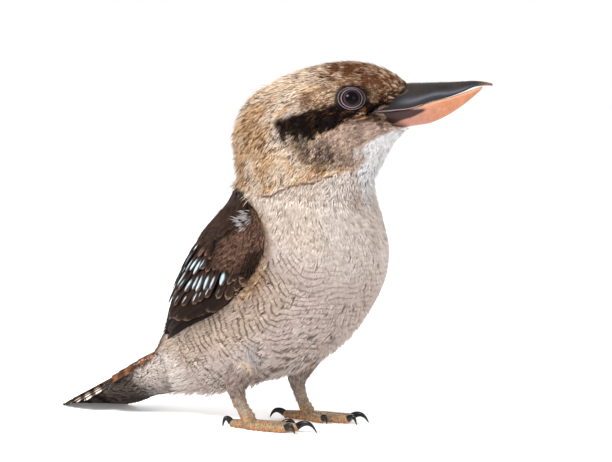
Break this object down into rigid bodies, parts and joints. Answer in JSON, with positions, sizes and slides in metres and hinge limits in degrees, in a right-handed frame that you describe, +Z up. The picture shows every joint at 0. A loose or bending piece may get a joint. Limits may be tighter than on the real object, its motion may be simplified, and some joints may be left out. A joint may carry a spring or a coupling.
{
  "type": "laughing kookaburra museum model",
  "caption": "Life-size still model of a standing laughing kookaburra with folded wings and its tail tip on the floor.",
  "frame": {"origin": "the middle of the bird's length and width, on the floor that the soles and the tail tip stand on", "axes": "+X the way the breast faces, +Y the bird's left, +Z up"},
  "size_m": [0.332, 0.1192, 0.27],
  "materials": {
    "plumage": "soft barred feathers",
    "crown": "streaked feathers",
    "wing_brown": "smooth vaned feathers",
    "tail_brown": "barred vaned feathers",
    "horn_black": "satin horn",
    "horn_pale": "satin horn",
    "foot_skin": "scaly skin",
    "eye_dark": "wet gloss"
  },
  "bodies": {
    "root": {"claw_left_1": "horn_black", "claw_left_2": "horn_black", "claw_left_3": "horn_black", "claw_left_4": "horn_black", "claw_right_1": "horn_black", "claw_right_2": "horn_black", "claw_right_3": "horn_black", "claw_right_4": "horn_black", "eye_left": "eye_dark", "eye_right": "eye_dark", "foot_left": "foot_skin", "foot_right": "foot_skin", "head": "crown", "leg_left": "plumage", "leg_right": "plumage", "lower_bill": "horn_pale", "neck": "plumage", "tail": "tail_brown", "torso": "plumage", "upper_bill": "horn_black", "wing_left": "wing_brown", "wing_right": "wing_brown"}
  },
  "joints": []
}
